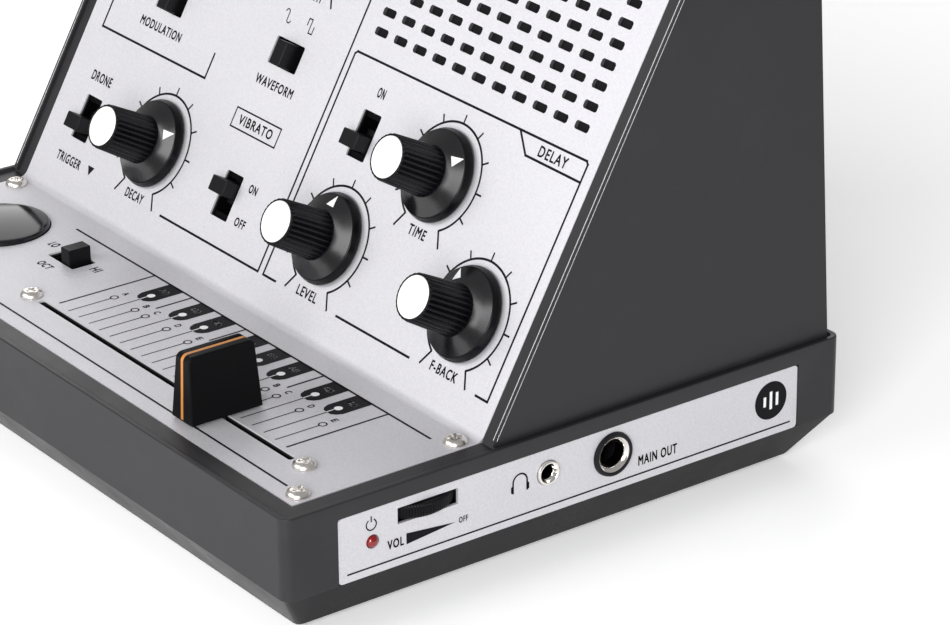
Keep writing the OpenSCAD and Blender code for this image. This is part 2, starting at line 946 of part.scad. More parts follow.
module knob(spot) {
  top_r = 5.8;
  color([0.05, 0.05, 0.06])
  on_panel(spot, 0)
  difference() {
    union() {
      rotate_extrude()
      polygon([[0, 0.8], [skirt_r - 0.4, 0.8], [skirt_r, 1.2], [skirt_r, 2], [skirt_r - 0.7, 2.8],
        [skirt_r - 1.4, 3.1], [grip_r, 5.2], [0, 5.2]]);
      translate([0, 0, 5])
      cylinder(r1 = grip_r - 0.35, r2 = top_r - 0.3, h = knob_h - 5);
      // flutes
      for (i = [0:flutes - 1])
        rotate([0, 0, i * 360 / flutes])
        translate([0, 0, 5])
        linear_extrude(knob_h - 5.6)
        polygon([[top_r - 1, -0.36], [top_r, -0.16], [top_r, 0.16], [top_r - 1, 0.36]]);
    }
    // seat of the white cap
    translate([0, 0, knob_h - cap_t])
    cylinder(r = cap_r + 0.03, h = 2);
    // hollow skirt around the nut
    translate([0, 0, 0])
    cylinder(r = nut_r + 1, h = 3.4);
    // socket for the shaft
    translate([0, 0, 1])
    cylinder(r = shaft_r + 0.02, h = socket_h + 1.2);
  }
}

module knob_cap(spot) {
  color([0.95, 0.95, 0.93])
  on_panel(spot, knob_h - cap_t)
  cylinder(r = cap_r, h = cap_t + 0.1);
}

module pot_shaft(spot) {
  color([0.75, 0.75, 0.75])
  on_panel(spot, -plate_t - 4)
  cylinder(r = shaft_r, h = socket_h + plate_t + 5.9);
}

module pots() {
  color([0.6, 0.6, 0.62])
  for (p = knob_spots)
    on_panel(p, 0)
    difference() {
      union() {
        translate([0, 0, -plate_t - 0.3 - pot_h])
        cylinder(r = pot_r, h = pot_h);
        translate([0, 0, -plate_t - 1])
        cylinder(r = bush_r, h = plate_t + 1 + 3);
        for (i = [-1, 0, 1])
          translate([i * 5, 0, -panel_board_h])
          cylinder(r = 0.5, h = 1, $fn = 24);
      }
      translate([0, 0, -plate_t - 5])
      cylinder(r = shaft_r + run_fit, h = 12);
    }
}

module pot_nuts() {
  color([0.8, 0.8, 0.8])
  for (p = knob_spots)
    on_panel(p, 0.05)
    difference() {
      cylinder(r = nut_r, h = nut_h, $fn = 6);
      translate([0, 0, -1])
      cylinder(r = bush_r + 0.03, h = nut_h + 2);
    }
}

// ---------- right side controls ----------

module volume_wheel() {
  ribs = 48;
  color([0.06, 0.06, 0.06])
  translate([wheel_x, wheel_at[0], wheel_at[1]]) {
    cylinder(r = wheel_r - 0.45, h = wheel_t, center = true);
    for (i = [0:ribs - 1])
      rotate([0, 0, i * 360 / ribs])
      translate([wheel_r - 0.6, 0, 0])
      cube([1.2, 0.7, wheel_t], center = true);
    translate([0, 0, -wheel_t / 2 - 4])
    cylinder(r = 1.5, h = 4.5);
  }
}

module volume_pot() {
  color([0.3, 0.3, 0.3])
  translate([wheel_x, wheel_at[0], wheel_at[1] - wheel_t / 2 - 0.8])
  difference() {
    translate([0, 0, -5])
    cylinder(r = 6, h = 5);
    translate([0, 0, -4])
    cylinder(r = 1.5 + run_fit, h = 6);
  }
}

module led_lens() {
  dome = side_plate_out + 1 - led_r;
  color([0.8, 0.05, 0.05]) {
    out_of_side(led_at, dome - 4.2)
    cylinder(r = led_r, h = 4.2);
    translate([dome, led_at[0], led_at[1]])
    intersection() {
      sphere(led_r);
      translate([-0.1, -3, -3])
      cube([6, 6, 6]);
    }
    out_of_side(led_at, dome - 4.2)
    cylinder(r = led_r + 0.4, h = 0.8);
  }
}

module headphone_nose() {
  color([0.85, 0.85, 0.85])
  out_of_side(small_jack_at, half_w - wall_t - 1.5)
  ring(small_nose_r, small_bore_r, wall_t + 1.5 + jack_proud);
}

module headphone_jack() {
  color([0.1, 0.1, 0.1])
  difference() {
    translate([half_w - wall_t - 1.6 - 12, small_jack_at[0] - 4, small_jack_at[1] - 3.2])
    cube([12, 8, 6.4]);
    out_of_side(small_jack_at, half_w - wall_t - 1.6 - 11)
    cylinder(r = small_bore_r, h = 14);
  }
}

module main_ring() {
  color([0.06, 0.06, 0.06])
  out_of_side(main_jack_at, half_w - wall_t - 1)
  ring(main_ring_r, main_sleeve_r + 0.02, wall_t + 1 + jack_proud + 0.2);
}

module main_sleeve() {
  color([0.85, 0.85, 0.85])
  out_of_side(main_jack_at, half_w - wall_t - 1)
  ring(main_sleeve_r, main_bore_r, wall_t + 1 + jack_proud);
}

module main_jack() {
  color([0.1, 0.1, 0.1])
  difference() {
    translate([half_w - wall_t - 1.1 - 22, main_jack_at[0] - 8, main_jack_at[1] - 6])
    cube([22, 16, 12]);
    out_of_side(main_jack_at, half_w - wall_t - 1.1 - 21)
    cylinder(r = main_bore_r, h = 24);
  }
}

// ---------- power ----------

module batteries() {
  nub = 1;
  color([0.2, 0.3, 0.5])
  for (i = [0:3])
    translate([well_at[0], well_at[1] + (i - 1.5) * cell_pitch, foot_h + door_t + 0.2 + cell_r])
    rotate([0, i % 2 == 0 ? 90 : -90, 0]) {
      translate([0, 0, -cell_l / 2])
      cylinder(r = cell_r, h = cell_l - nub);
      translate([0, 0, cell_l / 2 - nub - 0.2])
      cylinder(r = 2.75, h = nub + 0.2);
    }
}

module battery_contacts() {
  t = 0.4;
  color([0.8, 0.8, 0.75])
  for (sx = [-1, 1])
    for (i = [0:3])
      translate([well_at[0] + sx * (well_in[0] / 2 - t / 2), well_at[1] + (i - 1.5) * cell_pitch,
        foot_h + door_t + 0.2 + cell_r])
      cube([t, 9, 9], center = true);
}

base_tray();
tower_shell();
lower_base();
battery_door();
faceplate();
side_plate();
feet();
speaker_basket();
speaker_cone();
speaker_magnet();
grille_cloth();
panel_board();
deck_board();
fader_body();
fader_lever();
fader_cap();
fader_line();
trigger_button();
trigger_plunger();
trigger_switch();
switch_bodies();
upright_slider(drone_at, -1);  // drone_slider
upright_slider(vibrato_at, 1);  // vibrato_slider
upright_slider(delay_at, -1);  // delay_slider
level_slider(waveform_at, 1);  // waveform_slider
level_slider(modulation_at, 1);  // modulation_slider
octave_slider();
pots();
pot_nuts();
knob(decay_at);  // decay_knob
knob(level_at);  // level_knob
knob(time_at);  // time_knob
knob(feedback_at);  // feedback_knob
knob(rate_at);  // rate_knob
knob(depth_at);  // depth_knob
knob_cap(decay_at);  // decay_cap
knob_cap(level_at);  // level_cap
knob_cap(time_at);  // time_cap
knob_cap(feedback_at);  // feedback_cap
knob_cap(rate_at);  // rate_cap
knob_cap(depth_at);  // depth_cap
pot_shaft(decay_at);  // decay_shaft
pot_shaft(level_at);  // level_shaft
pot_shaft(time_at);  // time_shaft
pot_shaft(feedback_at);  // feedback_shaft
pot_shaft(rate_at);  // rate_shaft
pot_shaft(depth_at);  // depth_shaft
volume_pot();
volume_wheel();
led_lens();
headphone_jack();
headphone_nose();
main_jack();
main_ring();
main_sleeve();
batteries();
battery_contacts();
plate_screws();
fader_screws();
base_screws();
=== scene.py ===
from math import cos, pi, radians, sin

import bmesh
import bpy
from mathutils import Matrix, Vector


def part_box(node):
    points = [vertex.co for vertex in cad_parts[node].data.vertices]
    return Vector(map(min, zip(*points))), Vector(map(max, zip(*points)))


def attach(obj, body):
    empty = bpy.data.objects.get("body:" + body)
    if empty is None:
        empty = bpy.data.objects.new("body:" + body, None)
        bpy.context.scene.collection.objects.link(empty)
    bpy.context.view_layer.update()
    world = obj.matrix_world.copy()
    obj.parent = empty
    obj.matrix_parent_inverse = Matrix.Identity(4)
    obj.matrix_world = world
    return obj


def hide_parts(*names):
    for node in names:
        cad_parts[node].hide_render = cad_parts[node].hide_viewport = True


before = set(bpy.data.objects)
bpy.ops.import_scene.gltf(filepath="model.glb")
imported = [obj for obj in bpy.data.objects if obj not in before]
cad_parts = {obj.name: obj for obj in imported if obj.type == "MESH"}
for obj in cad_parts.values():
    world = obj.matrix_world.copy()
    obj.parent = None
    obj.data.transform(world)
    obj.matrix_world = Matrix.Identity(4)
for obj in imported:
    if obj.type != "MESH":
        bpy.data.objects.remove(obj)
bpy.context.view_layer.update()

# ---------------------------------------------------------------------------
# Lower base: a tapered tub moulded in near-black plastic with a fine sparked
# skin. It carries the battery bay and the posts, and six long screws come up
# through it from below.

MM = 0.001


def node_group(name, inputs, outputs):
    group = bpy.data.node_groups.new(name, "ShaderNodeTree")
    for label, kind, value in inputs:
        socket = group.interface.new_socket(label, in_out="INPUT", socket_type=kind)
        socket.default_value = value
    for label, kind in outputs:
        group.interface.new_socket(label, in_out="OUTPUT", socket_type=kind)
    return group, group.nodes.new("NodeGroupInput"), group.nodes.new("NodeGroupOutput")


def noise(tree, vector, scale, detail=3.0, rough=0.5):
    n = tree.nodes.new("ShaderNodeTexNoise")
    n.inputs["Detail"].default_value = detail
    n.inputs["Roughness"].default_value = rough
    tree.links.new(vector, n.inputs["Vector"])
    if isinstance(scale, (int, float)):
        n.inputs["Scale"].default_value = scale
    else:
        tree.links.new(scale, n.inputs["Scale"])
    return n.outputs["Fac"]


def maths(tree, kind, a, b, c=None):
    n = tree.nodes.new("ShaderNodeMath")
    n.operation = kind
    for i, v in enumerate((a, b, c)):
        if v is None:
            continue
        if isinstance(v, (int, float)):
            n.inputs[i].default_value = v
        else:
            tree.links.new(v, n.inputs[i])
    return n.outputs[0]


def ranged(tree, value, low, high, to_low, to_high):
    n = tree.nodes.new("ShaderNodeMapRange")
    tree.links.new(value, n.inputs["Value"])
    for label, v in (("From Min", low), ("From Max", high), ("To Min", to_low), ("To Max", to_high)):
        if isinstance(v, (int, float)):
            n.inputs[label].default_value = v
        else:
            tree.links.new(v, n.inputs[label])
    return n.outputs["Result"]


def blended(tree, factor, a, b, kind="MIX"):
    n = tree.nodes.new("ShaderNodeMix")
    n.data_type = "RGBA"
    n.blend_type = kind
    for socket, v in ((n.inputs[0], factor), (n.inputs[6], a), (n.inputs[7], b)):
        if isinstance(v, (int, float)):
            socket.default_value = v
        elif isinstance(v, tuple):
            socket.default_value = (*v[:3], 1.0)
        else:
            tree.links.new(v, socket)
    return n.outputs[2]


# sparked skin of a mould: fine grain, slow mottling, a little handling gloss and dust
skin, g_in, g_out = node_group(
    "moulded_skin",
    [("Tint", "NodeSocketColor", (0.1, 0.1, 0.1, 1)), ("Grain", "NodeSocketFloat", 2600.0),
     ("Mottle", "NodeSocketFloat", 0.12), ("Gloss", "NodeSocketFloat", 0.5),
     ("Dust", "NodeSocketFloat", 0.03)],
    [("Colour", "NodeSocketColor"), ("Roughness", "NodeSocketFloat"), ("Height", "NodeSocketFloat")])
where = skin.nodes.new("ShaderNodeTexCoord").outputs["Object"]
grain = noise(skin, where, g_in.outputs["Grain"], 2.0, 0.6)
slow = noise(skin, where, 22.0, 4.0, 0.55)
handled = noise(skin, where, 70.0, 5.0, 0.65)
shade = maths(skin, "MULTIPLY_ADD", maths(skin, "SUBTRACT", slow, 0.5), g_in.outputs["Mottle"], 1.0)
speck = maths(skin, "MULTIPLY_ADD", maths(skin, "SUBTRACT", grain, 0.5), g_in.outputs["Mottle"], shade)
tinted = skin.nodes.new("ShaderNodeVectorMath")
tinted.operation = "SCALE"
skin.links.new(g_in.outputs["Tint"], tinted.inputs[0])
skin.links.new(speck, tinted.inputs["Scale"])
dust = maths(skin, "MULTIPLY", ranged(skin, handled, 0.52, 0.78, 0.0, 1.0), g_in.outputs["Dust"])
skin.links.new(blended(skin, dust, tinted.outputs[0], (0.5, 0.49, 0.47)), g_out.inputs["Colour"])
uneven = maths(skin, "MULTIPLY_ADD", maths(skin, "SUBTRACT", handled, 0.5), 0.22, g_in.outputs["Gloss"])
skin.links.new(uneven, g_out.inputs["Roughness"])
skin.links.new(grain, g_out.inputs["Height"])


def bump(tree, shader, height, strength, depth):
    n = tree.nodes.new("ShaderNodeBump")
    n.inputs["Strength"].default_value = strength
    n.inputs["Distance"].default_value = depth
    tree.links.new(height, n.inputs["Height"])
    tree.links.new(n.outputs["Normal"], shader.inputs["Normal"])


def plastic(name, tint, gloss, grain=2600.0, mottle=0.12, dust=0.03, strength=0.35, depth=0.00004,
            coat=0.0, shine=0.5):
    m = bpy.data.materials.new(name)
    m.use_nodes = True
    tree = m.node_tree
    shader = tree.nodes["Principled BSDF"]
    g = tree.nodes.new("ShaderNodeGroup")
    g.node_tree = skin
    g.inputs["Tint"].default_value = (*tint, 1)
    g.inputs["Grain"].default_value = grain
    g.inputs["Mottle"].default_value = mottle
    g.inputs["Gloss"].default_value = gloss
    g.inputs["Dust"].default_value = dust
    tree.links.new(g.outputs["Colour"], shader.inputs["Base Color"])
    tree.links.new(g.outputs["Roughness"], shader.inputs["Roughness"])
    bump(tree, shader, g.outputs["Height"], strength, depth)
    shader.inputs["Specular IOR Level"].default_value = shine
    shader.inputs["Coat Weight"].default_value = coat
    shader.inputs["Coat Roughness"].default_value = 0.08
    m.diffuse_color = (*tint, 1)
    return m


def merged(node):
    """a node's mesh as whole faces, in millimetres, so that its edges can be eased"""
    bm = bmesh.new()
    bm.from_mesh(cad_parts[node].data)
    bmesh.ops.scale(bm, vec=(1000, 1000, 1000), verts=bm.verts)
    bmesh.ops.remove_doubles(bm, verts=bm.verts, dist=0.0005)
    bmesh.ops.dissolve_limit(bm, angle_limit=radians(0.4), verts=bm.verts, edges=bm.edges)
    return bm


def eased(bm, width, steps, chosen):
    """rounds the sharp edges that pass the test"""
    picks = [e for e in bm.edges if len(e.link_faces) == 2 and e.calc_face_angle(0) > radians(25)
             and chosen(e.verts[0].co, e.verts[1].co)]
    bmesh.ops.bevel(bm, geom=picks, offset=width, offset_type="OFFSET", segments=steps, profile=0.5,
                    affect="EDGES", clamp_overlap=True, material=-1)


def piece(name, bm, material, body, nodes=(), crease=34.0, weighted=True):
    """turns a bmesh drawn in millimetres into a finished piece on its body"""
    bmesh.ops.scale(bm, vec=(MM, MM, MM), verts=bm.verts)
    mesh = bpy.data.meshes.new(name)
    bm.to_mesh(mesh)
    bm.free()
    mesh.shade_smooth()
    mesh.set_sharp_from_angle(angle=radians(crease))
    obj = bpy.data.objects.new(name, mesh)
    bpy.context.scene.collection.objects.link(obj)
    mesh.materials.append(material)
    if weighted:
        w = obj.modifiers.new("weighted", "WEIGHTED_NORMAL")
        w.keep_sharp = True
    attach(obj, body)
    if nodes:
        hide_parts(*nodes)
    return obj


def dress(node, material):
    """gives a node that stays as it is its finish"""
    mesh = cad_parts[node].data
    mesh.materials.clear()
    mesh.materials.append(material)


base_plastic = plastic("base_plastic", (0.003, 0.003, 0.0045), 0.30, dust=0.002, strength=0.2, shine=0.05)
SEAM = 13.0
tub = merged("lower_base")
eased(tub, 1.4, 3, lambda a, b: min(abs(a.x), abs(b.x)) > 98 and min(abs(a.y), abs(b.y)) > 70
      and abs(a.z - b.z) > 8)
eased(tub, 0.9, 3, lambda a, b: max(a.z, b.z) < 1.6 and (min(abs(a.x), abs(b.x)) > 97
      or min(abs(a.y), abs(b.y)) > 70))
piece("lower_base_moulding", tub, base_plastic, "case", ["lower_base"])
dress("battery_door", base_plastic)
dark_zinc = plastic("dark_zinc", (0.1, 0.1, 0.1), 0.35, grain=900, strength=0.1)
dark_zinc.node_tree.nodes["Principled BSDF"].inputs["Metallic"].default_value = 0.9
dress("base_screws", dark_zinc)

# ---------------------------------------------------------------------------
# Feet: four soft rubber discs pressed into seats in the base, matte and a
# little dusty.

rubber = plastic("foot_rubber", (0.018, 0.018, 0.018), 0.8, grain=1500, dust=0.2, strength=0.4)
dress("feet", rubber)

# ---------------------------------------------------------------------------
# Case: the upper tray with its dark rim and the tower with its two cheeks.
# Both are grey injection-moulded plastic with a sparked skin and eased edges.

case_plastic = plastic("case_plastic", (0.021, 0.020, 0.022), 0.42, grain=2300, mottle=0.16, dust=0.01,
                       strength=0.3, shine=0.24)
DECK = 32.5
tray = merged("base_tray")
eased(tray, 0.35, 2, lambda a, b: min(a.z, b.z) > DECK - 0.1
      and (min(abs(a.x), abs(b.x)) > 100.9 or min(abs(a.y), abs(b.y)) > 72))
eased(tray, 0.25, 2, lambda a, b: max(a.z, b.z) < SEAM + 0.05
      and (min(abs(a.x), abs(b.x)) > 107 or min(abs(a.y), abs(b.y)) > 79.5))
piece("tray_moulding", tray, case_plastic, "case", ["base_tray"])

tower = merged("tower_shell")
eased(tower, 0.5, 3, lambda a, b: min(a.z, b.z) > DECK + 0.3 and min(abs(a.x), abs(b.x)) > 104.3)
piece("tower_moulding", tower, case_plastic, "case", ["tower_shell"])
# fine beads on the eased front edges of the cheeks are coloured far lighter than the case plastic, a painted
# highlight in two fine lines
cheek_painted_highlight = plastic("cheek_painted_highlight", (0.3, 0.3, 0.31), 0.18, grain=1500, mottle=0.1, dust=0.0, strength=0.02,
                     shine=0.9)
SLOPE, FOLD_Y = radians(60.6), -21.8
BEAD_R, BEAD_L, BEAD_MIDDLE = 0.13, 136, 70
up_slope = Vector((0, cos(SLOPE), sin(SLOPE)))
slope_out = Vector((0, -sin(SLOPE), cos(SLOPE)))
along = up_slope.to_track_quat("Z", "X").to_matrix().to_4x4()
beads = bmesh.new()
for side in (-1, 1):
    for x, h in ((105.3, 0.86), (105.93, 0.34)):
        middle = Vector((side * x, FOLD_Y, DECK)) + slope_out * h + up_slope * BEAD_MIDDLE
        bmesh.ops.create_cone(beads, cap_ends=True, segments=12, radius1=BEAD_R, radius2=BEAD_R,
                              depth=BEAD_L, matrix=Matrix.Translation(middle) @ along)
piece("cheek_beads", beads, cheek_painted_highlight, "case", crease=50, weighted=False)

# ---------------------------------------------------------------------------
# Faceplate: one sheet of 1 mm steel, punched, bent once and sprayed in satin
# silver with a fine metallic grain. The side plate is cut from the same stock.

paint, g_in, g_out = node_group(
    "silver_paint",
    [("Tint", "NodeSocketColor", (0.7, 0.7, 0.71, 1)), ("Flake", "NodeSocketFloat", 3200.0),
     ("Spread", "NodeSocketFloat", 0.2), ("Gloss", "NodeSocketFloat", 0.4)],
    [("Colour", "NodeSocketColor"), ("Roughness", "NodeSocketFloat"), ("Height", "NodeSocketFloat")])
where = paint.nodes.new("ShaderNodeTexCoord").outputs["Object"]
flake = noise(paint, where, g_in.outputs["Flake"], 2.0, 0.7)
cloud = noise(paint, where, 30.0, 3.0, 0.5)
rub = noise(paint, where, 120.0, 6.0, 0.7)
level = maths(paint, "MULTIPLY_ADD", maths(paint, "SUBTRACT", flake, 0.5), g_in.outputs["Spread"], 1.0)
level = maths(paint, "MULTIPLY_ADD", maths(paint, "SUBTRACT", cloud, 0.5), 0.05, level)
tinted = paint.nodes.new("ShaderNodeVectorMath")
tinted.operation = "SCALE"
paint.links.new(g_in.outputs["Tint"], tinted.inputs[0])
paint.links.new(level, tinted.inputs["Scale"])
paint.links.new(tinted.outputs[0], g_out.inputs["Colour"])
worn = maths(paint, "MULTIPLY_ADD", maths(paint, "SUBTRACT", rub, 0.5), 0.15, g_in.outputs["Gloss"])
paint.links.new(worn, g_out.inputs["Roughness"])
paint.links.new(flake, g_out.inputs["Height"])

silver = bpy.data.materials.new("satin_silver")
silver.use_nodes = True
tree = silver.node_tree
shader = tree.nodes["Principled BSDF"]
g = tree.nodes.new("ShaderNodeGroup")
g.node_tree = paint
g.inputs["Tint"].default_value = (0.56, 0.552, 0.58, 1)
g.inputs["Flake"].default_value = 1900.0
g.inputs["Spread"].default_value = 0.34
g.inputs["Gloss"].default_value = 0.5
tree.links.new(g.outputs["Colour"], shader.inputs["Base Color"])
tree.links.new(g.outputs["Roughness"], shader.inputs["Roughness"])
shader.inputs["Metallic"].default_value = 0.3
bump(tree, shader, g.outputs["Height"], 0.25, 0.00003)

sheet = merged("faceplate")
PAINTED_WALL = 0.4
GRILLE_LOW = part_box("grille_cloth")[0].z / MM


def window_corner(edge):
    """true on the four upright corner edges of each slide switch's window"""
    if len(edge.link_faces) != 2 or edge.calc_face_angle(0) < radians(60):
        return False
    a, b = (v.co for v in edge.verts)
    middle, run = (a + b) / 2, (a - b).normalized()
    across = slope_out if middle.y > -25 else Vector((0, 0, 1))
    near = any((middle - spot).length < 9 for spot in windows)
    return near and abs(run.dot(across)) > 0.99


windows = []
for key in ("drone", "vibrato", "delay", "waveform", "modulation", "octave"):
    low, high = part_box(key + "_slider")
    windows.append((low + high) / 2 / MM)
for f in sheet.faces:
    # paint reaches a little way down the walls of the punched holes, and below it the walls are coloured
    # near-black as painted shade inside the holes
    f.normal_update()
    middle = f.calc_center_median()
    outward = Vector((0, 0, 1)) if middle.y < -25 else slope_out
    inside = abs(middle.x) < 100 and middle.y > -72.5 and (middle.y < -25 or middle.z < 150)
    wall = inside and abs(f.normal.dot(outward)) < 0.2
    f.material_index = (2 if middle.x > 8 and middle.z > GRILLE_LOW else 1) if wall else 0
bmesh.ops.bevel(sheet, geom=[e for e in sheet.edges if window_corner(e)], offset=0.45, offset_type="OFFSET",
                segments=3, profile=0.5, affect="EDGES", clamp_overlap=False, material=-1)
sheet_piece = piece("faceplate_sheet", sheet, silver, "case", ["faceplate"], crease=20)
# hole walls below the paint line are near-black, painted shade inside the holes; the grille hole walls get a
# dark grey painted shade
punched = plastic("punched_wall_painted_shade", (0.02, 0.02, 0.021), 0.5, dust=0.0, shine=0.2)
tree = punched.node_tree
shader = tree.nodes["Principled BSDF"]
where = tree.nodes.new("ShaderNodeTexCoord").outputs["Object"]
depths = []
for outward, foot in ((Vector((0, 0, 1)), DECK), (slope_out, slope_out.dot(Vector((0, FOLD_Y, DECK))))):
    reach = tree.nodes.new("ShaderNodeVectorMath")
    reach.operation = "DOT_PRODUCT"
    tree.links.new(where, reach.inputs[0])
    reach.inputs[1].default_value = outward
    depths.append(maths(tree, "SUBTRACT", reach.outputs["Value"], foot * MM))
lip = ranged(tree, maths(tree, "MINIMUM", *depths), -PAINTED_WALL * 1.3 * MM, -PAINTED_WALL * MM, 0.0, 1.0)
dark = shader.inputs["Base Color"].links[0].from_socket
tree.links.new(blended(tree, lip, dark, (0.5, 0.495, 0.52)), shader.inputs["Base Color"])
sheet_piece.data.materials.append(punched)
sheet_piece.data.materials.append(plastic("grille_wall_painted_shade", (0.075, 0.074, 0.08), 0.5, dust=0.0, shine=0.2))
plate = merged("side_plate")
eased(plate, 1.0, 4, lambda a, b: abs(a.x - b.x) > 0.3 and abs(a.y - b.y) < 0.01 and abs(a.z - b.z) < 0.01
      and (abs(a.y) > 63 or a.y > 64) and not 15 < a.z < 27)
eased(plate, 0.1, 2, lambda a, b: min(a.x, b.x) > 107.7)
piece("side_plate_sheet", plate, silver, "case", ["side_plate"], crease=20)

# ---------------------------------------------------------------------------
# Printed legends: black ink screened on the silver sheets, white ink inside
# the black tabs. Lines are about half a millimetre wide and the ink has a
# satin skin.

INK = 0.03
ink_black = plastic("ink_black", (0.004, 0.004, 0.006), 0.5, grain=2600, mottle=0.3, dust=0.002, strength=0.2,
                    shine=0.1)
ink_white = plastic("ink_white", (0.78, 0.78, 0.79), 0.5, grain=2600, mottle=0.1, dust=0.0, strength=0.2)

# drawing planes: millimetres on the sheet to millimetres in the object
DECK_PLANE = Matrix.Translation((0, 0, DECK))
PANEL_PLANE = Matrix.Translation((0, FOLD_Y, DECK)) @ Matrix.Rotation(SLOPE, 4, "X")
SIDE_PLANE = Matrix.Translation((107.8, 0, 0)) @ Matrix(
    ((0, 0, 1, 0), (1, 0, 0, 0), (0, 1, 0, 0), (0, 0, 0, 1)))


def stroke(bm, points, width, z=INK):
    """a printed line through the points, with filled corners"""
    for i in range(len(points) - 1):
        a, b = Vector(points[i]), Vector(points[i + 1])
        run = b - a
        ends = run.length + (width if len(points) > 2 else 0)
        turn = Matrix.Rotation(-run.angle_signed(Vector((1, 0))) * -1, 4, "Z")
        centre = (a + b) / 2
        bmesh.ops.create_grid(bm, x_segments=1, y_segments=1, size=0.5, matrix=Matrix.Translation(
            (centre.x, centre.y, z)) @ turn @ Matrix.Diagonal((ends, width, 1, 1)))


def arc(bm, centre, radius, width, start, end, z=INK):
    """a printed arc from one angle to the other"""
    a = radians(start)
    low, high = (bm.verts.new((centre[0] + r * cos(a), centre[1] + r * sin(a), z))
                 for r in (radius - width / 2, radius + width / 2))
    edge = bm.edges.new((low, high))
    bmesh.ops.spin(bm, geom=[low, high, edge], cent=(*centre, z), axis=(0, 0, 1), dvec=(0, 0, 0),
                   angle=radians(end - start), steps=max(6, int(abs(end - start) / 5)),
                   use_merge=abs(end - start) > 359)


def disc(bm, centre, radius, z=INK, sides=32):
    bmesh.ops.create_circle(bm, cap_ends=True, segments=sides, radius=radius,
                            matrix=Matrix.Translation((*centre, z)))


def patch(bm, points, z=INK):
    bm.faces.new([bm.verts.new((*p, z)) for p in points])


def words(bm, text, left, right, low, high, weight=0.07, z=INK):
    """lettering fitted to a box on the sheet, struck four times a little apart to thicken it"""
    curve = bpy.data.curves.new("lettering", "FONT")
    curve.body = text
    curve.resolution_u = 3
    curve.space_character = 1.16
    holder = bpy.data.objects.new("lettering", curve)
    bpy.context.scene.collection.objects.link(holder)
    bpy.context.view_layer.update()
    made = bpy.data.meshes.new_from_object(holder.evaluated_get(bpy.context.evaluated_depsgraph_get()))
    bpy.data.objects.remove(holder)
    xs = [v.co.x for v in made.vertices]
    ys = [v.co.y for v in made.vertices]
    wide, tall = right - left - 2 * weight, high - low - 2 * weight
    made.transform(Matrix.Diagonal((wide / (max(xs) - min(xs)), tall / (max(ys) - min(ys)), 1, 1))
                   @ Matrix.Translation((-min(xs), -min(ys), 0)))
    spot = Vector((left + weight, low + weight, z))
    for dx, dy in ((-1, -1), (1, -1), (-1, 1), (1, 1)):
        step = spot + Vector((dx * weight, dy * weight, 0))
        made.transform(Matrix.Translation(step))
        bm.from_mesh(made)
        made.transform(Matrix.Translation(-step))
    bpy.data.meshes.remove(made)


def printed(name, bm, plane, ink):
    bmesh.ops.transform(bm, matrix=plane, verts=bm.verts)
    outward = plane.to_3x3() @ Vector((0, 0, 1))
    for f in bm.faces:
        f.normal_update()
        if f.normal.dot(outward) < 0:
            f.normal_flip()
    return piece(name, bm, ink, "case", weighted=False)


# the scale of semitones behind the fader
NOTES = ["A", "A#", "B", "C", "C#", "D", "D#", "E", "F", "F#", "G", "G#", "A", "A#", "B", "C", "C#", "D",
         "D#", "E"]
FIRST, PITCH, BACK = -18.89, 4.75, -29.8
black, white = bmesh.new(), bmesh.new()
stroke(black, [(-61.7, BACK), (92.6, BACK)], 0.65)
stroke(black, [(-92.6, -69.0), (92.4, -69.0)], 0.62)
stroke(black, [(-24.15, BACK), (-24.15, -57.5)], 0.6)
stroke(black, [(76.1, BACK), (76.1, -58.2)], 0.6)
for k in (2.5, 7.5, 14.5):
    stroke(black, [(FIRST + k * PITCH, BACK), (FIRST + k * PITCH, -40.4)], 0.6)
for k, note in enumerate(NOTES):
    x = FIRST + k * PITCH
    if len(note) == 1:
        arc(black, (x, -44.95), 0.95, 0.38, 0, 360)
        words(black, note, x - 0.66, x + 0.66, -42.5, -40.7, 0.06)
        stroke(black, [(x, -46.0), (x, -58.1)], 0.36)
    else:
        patch(black, [(x - 3.15, BACK), (x - 3.15, -38.1), (x - 2.5, -39.6), (x - 1.4, -40.5),
                      (x + 1.4, -40.5), (x + 2.5, -39.6), (x + 3.15, -38.1), (x + 3.15, BACK)])
        disc(white, (x, -37.3), 1.05, 2 * INK)
        stroke(white, [(x - 0.15, -38.2), (x - 0.15, -40.6)], 0.28, 2 * INK)
        words(white, note, x - 1.5, x + 1.5, -34.3, -32.5, 0.04, 2 * INK)
        stroke(black, [(x, -40.5), (x, -58.1)], 0.36)
words(black, "LO", -57.8, -54.9, -40.9, -38.2)
words(black, "OCT", -49.3, -43.9, -49.3, -46.9)
words(black, "HI", -37.6, -34.8, -40.9, -38.2)
printed("deck_print_black", black, DECK_PLANE, ink_black)
printed("deck_print_white", white, DECK_PLANE, ink_white)

# the sloping panel
KNOBS = {"decay": (-53.4, 24.2, 28), "level": (24.7, 24.2, 90), "time": (53.0, 49.9, 36.5),
         "feedback": (80.4, 24.2, 120), "rate": (-69.9, 90.0, 90), "depth": (-17.8, 90.0, 90)}
LABELS = {"decay": ("DECAY", 8.1), "level": ("LEVEL", 8.2), "time": ("TIME", 6.7),
          "feedback": ("F-BACK", 10.1), "rate": ("RATE", 6.7), "depth": ("DEPTH", 8.2)}
black = bmesh.new()
for key, (x, s, _) in KNOBS.items():
    arc(black, (x, s), 13.39, 0.58, -61, 239)
    for a in (-61, 239):
        ca, sa = cos(radians(a)), sin(radians(a))
        stroke(black, [(x + 13.2 * ca, s + 13.2 * sa), (x + 17.95 * ca, s + 17.95 * sa)], 0.58)
    for a in range(-30, 211, 30):
        ca, sa = cos(radians(a)), sin(radians(a))
        stroke(black, [(x + 13.4 * ca, s + 13.4 * sa), (x + 15.6 * ca, s + 15.6 * sa)], 0.48)
    label, wide = LABELS[key]
    words(black, label, x - 0.3 - wide / 2, x - 0.3 + wide / 2, s - 15.6, s - 13.05)
